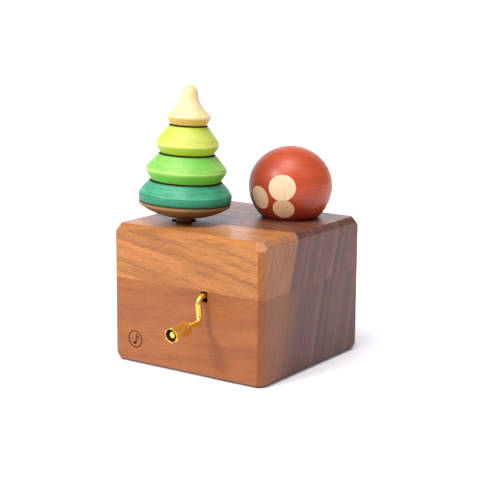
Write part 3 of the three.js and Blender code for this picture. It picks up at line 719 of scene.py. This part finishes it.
def quaver_outline():
    """A plain quaver, listed anticlockwise: a leaning oval head, then one curved flag and the stem."""
    centre, half = Vector((-0.22, -2.0)), Vector((1.25, 0.9))
    lean = Matrix.Rotation(math.radians(22), 2)
    stem_top, flag_foot = 3.1, 1.45
    head_start, head_turn, head_steps = 33.5, 310.3, 24
    points = []
    for i in range(head_steps + 1):
        angle = math.radians(head_start + head_turn * i / head_steps)
        points.append(centre + lean @ Vector((half.x * math.cos(angle), half.y * math.sin(angle))))
    stem_left, stem_right = points[0].x, points[-1].x
    flag = [(stem_right, flag_foot), (1.75, 0.95), (2.0, 0.55), (2.3, -0.1), (2.45, 1.35), (1.5, 2.2)]
    corners = [*flag, (stem_right, stem_top), (stem_left, stem_top)]
    return [(MARK["x"] + x, MARK["z"] + z) for x, z in [*points, *corners]]


def cut_block(mesh, cuts):
    """Makes the cuts, and leaves every face flat: the rounded edges are strips finer than the eye."""
    for cut in cuts:
        mesh = boolean(mesh, cut)
    mesh.polygons.foreach_set("use_smooth", [False] * len(mesh.polygons))
    return mesh


def pocket_tool(low, high, material):
    """The movement's pocket between two heights."""
    half = POCKET["half"]
    return box_tool((-half, -half, low), (half, half, high), material)


def upper_block():
    """The block with the pocket's upper part, the two sockets and the holes for the screws."""
    wood = MATERIALS["walnut_upper"]
    mesh = block_mesh("walnut_upper_block", "upper_block", [wood])
    below = SEAM - 2 * CLEAR
    cuts = [pocket_tool(below, POCKET["ceiling"], wood), socket_tool(TREE_POINT, wood),
            socket_tool(BALL_POINT, wood)]
    for screw in BOX_SCREWS:
        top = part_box(screw)[1].z / MM + SCREW_HOLE["past_tip"]
        hole = [(below, SCREW_HOLE["radius"]), (top, SCREW_HOLE["radius"])]
        cuts.append(hole_tool(hole, centre_of(screw), 32, wood))
    mesh = cut_block(mesh, cuts)
    new_piece("walnut_upper_block", mesh, "box", ["upper_block"], [])


def lower_block():
    """The block with the pocket's lower part, the crank's notch, the mark and the screws' holes."""
    wood, burnt = MATERIALS["walnut_lower"], MATERIALS["burnt_wood_and_shade"]
    mesh = block_mesh("walnut_lower_block", "lower_block", [wood, burnt])
    above = SEAM + 2 * CLEAR
    half = NOTCH["width"] / 2
    notch_low = (SHAFT_POINT.x - half, FRONT - CLEAR, SEAM - NOTCH["height"])
    notch_high = (SHAFT_POINT.x + half, -POCKET["half"] + CLEAR, SEAM + CLEAR)
    # The notch takes the charred wood: painted shade on its walls.
    cuts = [pocket_tool(POCKET["floor"], above, wood), box_tool(notch_low, notch_high, burnt),
            ring_tool(burnt), prism_tool(quaver_outline(), burnt)]
    hole = [(-CLEAR, COUNTERBORE["radius"]), (COUNTERBORE["depth"], COUNTERBORE["radius"]),
            (COUNTERBORE["depth"], SCREW_HOLE["radius"]), (above, SCREW_HOLE["radius"])]
    for screw in BOX_SCREWS:
        cuts.append(hole_tool(hole, centre_of(screw), 48, wood))
    mesh = cut_block(mesh, cuts)
    new_piece("walnut_lower_block", mesh, "box", ["lower_block"], [])


# ---- tree top -------------------------------------------------------------------------------

SPINDLE_BORE = 2.8
BURN_REACH = 0.32   # how wide the burnt line at a joint is on each piece
CROWN = {"tip": 5.0, "bore_stop": 9.0}    # down from its top


def burn(mesh, below, above):
    """Gives the second material to the tree's faces below one height and above another."""
    inverse = TREE_FRAME.inverted()
    for polygon in mesh.polygons:
        height = (inverse @ (polygon.center / MM)).z
        if height < below or height > above:
            polygon.material_index = 1


def split_rows(outline, row):
    """Adds points to the outline so that no step is longer than row."""
    finer = [Vector(outline[0])]
    for point in outline[1:]:
        start, end = finer[-1], Vector(point)
        steps = max(1, math.ceil((end - start).length / row))
        finer += [start.lerp(end, (k + 1) / steps) for k in range(steps)]
    return finer


def corner_line(outline):
    """The height of the upper corner of the widest band."""
    widest = max(radius for _, radius in outline)
    return max(height for height, radius in outline if radius > widest - 0.6)


def tree_piece(node, slot, corner, row, burnt, dark_line=False):
    """One stained piece: the CAD outline with rounded corners, bored for the spindle, with burnt
    lines of these widths at its lower and upper joint."""
    whole = node_outline(node, TREE_FRAME)
    low, high = whole[0][0], whole[-1][0]
    has_tip = whole[-1][1] < 0.01
    outline = [(height, radius) for height, radius in whole
               if radius > SPINDLE_BORE + 0.5 or (has_tip and height > high - CROWN["tip"])]
    path = split_rows(rounded(outline, corner), row)
    if has_tip:
        bore_top = high - CROWN["bore_stop"]
        loop = [(bore_top, 0.0), (bore_top, SPINDLE_BORE), (low, SPINDLE_BORE), *path]
    else:
        loop = [(low, SPINDLE_BORE), *path, (high, SPINDLE_BORE)]
    mesh = finish_mesh(node, revolve(loop, TREE_FRAME, closed=not has_tip))
    line_at = corner_line(whole) if dark_line else None
    stain = turned_wood(slot, TREE_FRAME, heights=(low, high), line_at=line_at, **TREE_STAINS[slot])
    new_piece("stained_" + node, mesh, "tree", [node], [stain, MATERIALS["burnt_wood_and_shade"]])
    burn(mesh, low + burnt[0], high - burnt[1])


def foot(name, node, place, body, material, bore=None):
    """A short round foot with a rounded end, bored from its top down to the height of bore."""
    outline = node_outline(node, place)
    low, high = outline[0][0], outline[-1][0]
    wide = [point for point in outline if point[1] > SPINDLE_BORE + 0.4]
    path = split_rows(rounded(wide, 0.6, 4), 0.8)
    top = [(high, SPINDLE_BORE), (bore, SPINDLE_BORE), (bore, 0.0)] if bore else [(high, 0.0)]
    mesh = finish_mesh(name, revolve([(low, 0.0), *path, *top], place, 96))
    new_piece(name, mesh, body, [node], [material])


def tree():
    both = (BURN_REACH, BURN_REACH)
    tree_piece("tree_disc", "brown_stain", 1.6, 0.6, (0.0, BURN_REACH * 0.6))
    tree_piece("tree_tier_lower", "teal_stain", 0.8, 0.5, both, dark_line=True)
    tree_piece("tree_tier_middle", "green_stain", 1.5, 0.5, both)
    tree_piece("tree_tier_upper", "yellow_stain", 1.4, 0.5, both)
    tree_piece("tree_crown", "cream_stain", 2.2, 0.5, (BURN_REACH, 0.0))
    foot_wood = turned_wood("lit_foot_stain", TREE_FRAME, heights=(-8.0, 20.0), **LIT_FOOT_STAIN)
    foot("stained_tree_foot", "tree_foot", TREE_FRAME, "tree_foot", foot_wood, -4.3)


# ---- ball top -------------------------------------------------------------------------------

# Heights are above the socket's point. Below its centre the ball is part of a taller ellipsoid.
BALL = {"centre": 18.0, "lower_depth": 23.8, "bore_depth": 10.0, "bore": 4.9}
BALL_FLATS = [
    {"bearing": 21, "elevation": 5.5, "radius": 7.65},
    {"bearing": -15.9, "elevation": -11.9, "radius": 6.6},
    {"bearing": 22.4, "elevation": -26.0, "radius": 5.95},
]


def ball():
    """The lacquered ball: slightly flat on top, on a flat base, with three bare flats sanded off."""
    low, high = (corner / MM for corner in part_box("ball_body"))
    radius = (high.x - low.x) / 2
    base, top = low.z - BALL_POINT.z, high.z - BALL_POINT.z
    centre, depth = BALL["centre"], BALL["lower_depth"]
    steps = 72
    start = -math.asin((centre - base) / depth)
    outline = [(BALL["bore_depth"], 0.0), (BALL["bore_depth"], BALL["bore"]), (base, BALL["bore"])]
    for i in range(steps):
        angle = start + (math.pi / 2 - start) * i / steps
        half_height = depth if angle < 0 else top - centre
        outline.append((centre + half_height * math.sin(angle), radius * math.cos(angle)))
    outline.append((top, 0.0))
    shape = revolve(outline, BALL_FRAME, 224)
    middle = BALL_FRAME @ Vector((0, 0, centre))
    for flat in BALL_FLATS:
        sand_flat(shape, middle, radius, **flat)
    mesh = finish_mesh("ball", shape, 20)
    new_piece("lacquered_ball", mesh, "ball", ["ball_body"],
              [MATERIALS["rust_lacquer"], MATERIALS["bare_wood"]])


def sand_flat(shape, middle, ball_radius, bearing, elevation, radius):
    """Cuts one round flat and gives it the bare wood."""
    normal = direction(bearing, elevation)
    point = middle + normal * math.sqrt(ball_radius ** 2 - radius ** 2)
    everything = shape.verts[:] + shape.edges[:] + shape.faces[:]
    cut = bmesh.ops.bisect_plane(shape, geom=everything, plane_co=point, plane_no=normal,
                                 clear_outer=True)
    rim = [edge for edge in cut["geom_cut"] if isinstance(edge, bmesh.types.BMEdge)]
    filled = bmesh.ops.contextual_create(shape, geom=rim)
    for face in filled["faces"]:
        face.material_index = 1


# ---- crank ----------------------------------------------------------------------------------

WIRE = {"radius": 1.62, "bend": 4.4, "past_cad": 1.0, "inside_end": 0.6}
# (distance back from its outer end, radius) pairs
PEENED_END = [(1.8, 0.0), (1.8, 1.64), (1.1, 1.86), (0.5, 1.84), (0.15, 1.5), (0.0, 0.8), (-0.02, 0.0)]
COLLAR = {"bore": 1.64, "radius": 2.35, "edge": 0.15}
SLEEVE = {"flats": 7.5, "radius": 4.32, "bore": 1.75, "counterbore": 3.35, "counterbore_depth": 4.0,
          "rows": 0.6}


def knob_span(node):
    """How far along the knob's axis a CAD node starts and ends."""
    heights = [(KNOB_FRAME.inverted() @ point).z for point in node_points(node)]
    return min(heights), max(heights)


def crank():
    """The bent wire: from the shaft's bore, down the arm and out through the knob to its peened end."""
    brass = MATERIALS["brass"]
    corner = SHAFT_POINT + SHAFT_AXIS * (ELBOW - SHAFT_POINT).dot(SHAFT_AXIS)
    inner = Vector((SHAFT_POINT.x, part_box("crank_wire")[1].y / MM, SHAFT_POINT.z))
    far = knob_span("crank_wire")[1] + WIRE["past_cad"]
    tip = ELBOW + KNOB_AXIS * (far - WIRE["inside_end"])
    path = rounded([inner, corner, ELBOW, tip], WIRE["bend"], 14)
    wire = finish_mesh("brass_wire", swept(path, WIRE["radius"]), 40)
    new_piece("brass_wire", wire, "crank", ["crank_wire"], [brass])
    peened = [(far - back, radius) for back, radius in PEENED_END]
    end = finish_mesh("peened_end", revolve(peened, KNOB_FRAME, 48), 50)
    new_piece("brass_peened_end", end, "crank", [], [brass])
    low, high = knob_span("knob_collar")
    bore, wide, edge = COLLAR["bore"], COLLAR["radius"], COLLAR["edge"]
    collar = [(low, bore), (low + 0.05, 2.0), (low + 2 * edge, wide), (high - edge, wide),
              (high, wide - edge), (high, bore)]
    ring = finish_mesh("brass_collar", revolve(collar, KNOB_FRAME, 64, closed=True), 40)
    new_piece("brass_collar", ring, "crank", ["knob_collar"], [brass])


def sleeve_radius(radius, angle):
    """The sleeve's radius at an angle. Inside it is round. Outside it is the smaller of the turned
    radius and the hexagon's own edge, blended so that the corners are soft."""
    if radius <= SLEEVE["counterbore"] + 0.2:
        return radius
    sixth = math.pi / 3
    offset = ((angle + sixth / 2) % sixth) - sixth / 2
    flat = SLEEVE["flats"] / 2 / math.cos(offset)
    sharpness = 26
    return (radius ** -sharpness + flat ** -sharpness) ** (-1 / sharpness)


def knob_sleeve():
    """Hexagonal bar turned at both ends, drilled for the wire and counterbored at the open end."""
    low, high = knob_span("knob_sleeve")
    wide, bore, deep = SLEEVE["radius"], SLEEVE["bore"], SLEEVE["counterbore"]
    bottom = high - SLEEVE["counterbore_depth"]
    cone = [(low, 2.4), (low + 0.25, 2.7), (low + 2.0, 3.9), (low + 2.6, wide)]
    lip = [(high - 0.75, wide), (high - 0.3, wide - 0.1), (high - 0.06, wide - 0.3), (high, wide - 0.45)]
    outer = split_rows(cone + lip, SLEEVE["rows"])
    inner = [(high, deep + 0.12), (high - 0.15, deep), (bottom + 0.5, deep - 0.05),
             (bottom, bore + 0.3), (bottom - 0.2, bore), (low, bore)]
    shape = revolve([*outer, *inner], KNOB_FRAME, 144, closed=True, radius_at=sleeve_radius)
    mesh = finish_mesh("brass_sleeve", shape, 40)
    new_piece("brass_sleeve", mesh, "knob", ["knob_sleeve"],
              [MATERIALS["hexagon_brass"], MATERIALS["bore_shade_brass"]])
    # The counterbore's inside takes the dark brass: painted shade.
    inverse = KNOB_FRAME.inverted()
    for polygon in mesh.polygons:
        local = inverse @ (polygon.center / MM)
        if math.hypot(local.x, local.y) < deep + 0.02:
            polygon.material_index = 1


# ---- CAD nodes that keep their shape --------------------------------------------------------


def finish_cad_nodes():
    """The pieces inside the box keep their CAD shape and get the material of their slot."""
    for row in frame["record"]["subparts"]:
        node = frame["nodes"][row["node"]]
        material = MATERIALS.get(row["material_slot"])
        if material and not node.hide_render:
            node.data.materials.clear()
            node.data.materials.append(material)


# ---- stage ----------------------------------------------------------------------------------

CAMERA = {"azimuth": 34.76, "elevation": 11.448, "roll": 0.388, "distance": 754.7, "right": 0.93,
          "height": 66.0, "lens": 100.63, "sensor": 36.0}
LIGHTS = [
    {"name": "key", "azimuth": -20, "elevation": 38, "spread": 16, "level": 0.66,
     "color": (1.0, 0.985, 0.96)},
    {"name": "overhead", "azimuth": 12, "elevation": 72, "spread": 36, "level": 0.80,
     "color": (1.0, 0.99, 0.99)},
    {"name": "side", "azimuth": 85, "elevation": 46, "spread": 18, "level": 0.07,
     "color": (0.95, 0.95, 1.0)},
]
# The sweep's light is full and ends at these cosines of the angle from the camera's side.
WORLD = {"behind": 1.6, "around": 0.26, "full": -0.97, "end": -0.60, "color": rgba(0.955, 0.945, 1.0),
         "seen": 1.1}


def make_camera():
    """A long lens. It stands back along its own axis from a point to the right of the origin and
    above it, and is rolled slightly."""
    data = bpy.data.cameras.new("camera")
    data.sensor_width = CAMERA["sensor"]
    data.lens = CAMERA["lens"]
    data.clip_start = 0.02
    data.clip_end = 50.0
    back = direction(CAMERA["azimuth"], CAMERA["elevation"])
    azimuth = math.radians(CAMERA["azimuth"])
    right = Vector((math.cos(azimuth), math.sin(azimuth), 0))
    up = back.cross(right)
    roll = math.radians(CAMERA["roll"])
    x_axis = right * math.cos(roll) + up * math.sin(roll)
    y_axis = up * math.cos(roll) - right * math.sin(roll)
    place = back * CAMERA["distance"] + right * CAMERA["right"] + Vector((0, 0, CAMERA["height"]))
    camera = new_object("camera", data)
    turn = Matrix((x_axis, y_axis, back)).transposed().to_4x4()
    camera.matrix_world = Matrix.Translation(place * MM) @ turn
    bpy.context.scene.camera = camera


def make_lights():
    """Lamps far off and wide, so their shadows are soft and the floor is lit evenly.
    A level of 1 gives a white matt surface that faces the lamp a radiance of 1."""
    for spec in LIGHTS:
        data = bpy.data.lights.new(spec["name"], "SUN")
        data.angle = math.radians(spec["spread"])
        data.energy = spec["level"] * math.pi
        data.color = spec["color"]
        lamp = new_object(spec["name"], data)
        towards = direction(spec["azimuth"], spec["elevation"])
        lamp.location = towards
        lamp.rotation_mode = "QUATERNION"
        lamp.rotation_quaternion = towards.to_track_quat("Z", "Y")


def make_world():
    """A white studio: the paper sweep behind the object is bright, and the rest of the room is dim.
    The background itself is plain white."""
    world = bpy.data.worlds.new("studio")
    world.use_nodes = True
    bpy.context.scene.world = world
    tree = world.node_tree
    tree.nodes.clear()
    place = add_node(tree, "ShaderNodeTexCoord").outputs["Generated"]
    front = tuple(direction(CAMERA["azimuth"], 0))
    lean = add_node(tree, "ShaderNodeVectorMath", {0: place, 1: front}, operation="DOT_PRODUCT")
    level = add_node(tree, "ShaderNodeMapRange",
                     {"Value": lean.outputs["Value"], "From Min": WORLD["full"], "From Max": WORLD["end"],
                      "To Min": WORLD["behind"], "To Max": WORLD["around"]},
                     interpolation_type="SMOOTHSTEP").outputs[0]
    room = add_node(tree, "ShaderNodeBackground", {"Color": WORLD["color"], "Strength": level})
    white = add_node(tree, "ShaderNodeBackground", {"Color": rgba(1.0, 1.0, 1.0),
                                                    "Strength": WORLD["seen"]})
    seen = add_node(tree, "ShaderNodeLightPath").outputs["Is Camera Ray"]
    blend = add_node(tree, "ShaderNodeMixShader", {0: seen, 1: room.outputs[0], 2: white.outputs[0]})
    add_node(tree, "ShaderNodeOutputWorld", {"Surface": blend.outputs[0]})


def make_floor():
    """A wide sheet of white paper."""
    f = Finish("paper", Specular_IOR_Level=0.1, Emission_Color=rgba(0.97, 0.96, 1.0),
               Emission_Strength=0.07)
    tooth = f.noise(f.point, 3.0, 0.6, scale=0.8)
    color = f.mix(tooth, rgba(0.935, 0.925, 0.96), rgba(0.955, 0.945, 0.98))
    paper = f.done(color, f.ease(tooth, 0.2, 0.8, 0.85, 0.95))
    shape = bmesh.new()
    bmesh.ops.create_grid(shape, x_segments=24, y_segments=24, size=6000.0)
    mesh = finish_mesh("paper_floor", shape)
    mesh.materials.append(paper)
    floor = new_object("paper_floor", mesh)


# ---- scene ----------------------------------------------------------------------------------

make_camera()
make_world()
make_lights()
make_floor()
upper_block()
lower_block()
tree()
foot("pale_ball_foot", "ball_foot", BALL_FRAME, "ball_foot", MATERIALS["pale_wood"])
ball()
crank()
knob_sleeve()
finish_cad_nodes()
bpy.context.scene.view_settings.view_transform = "Standard"
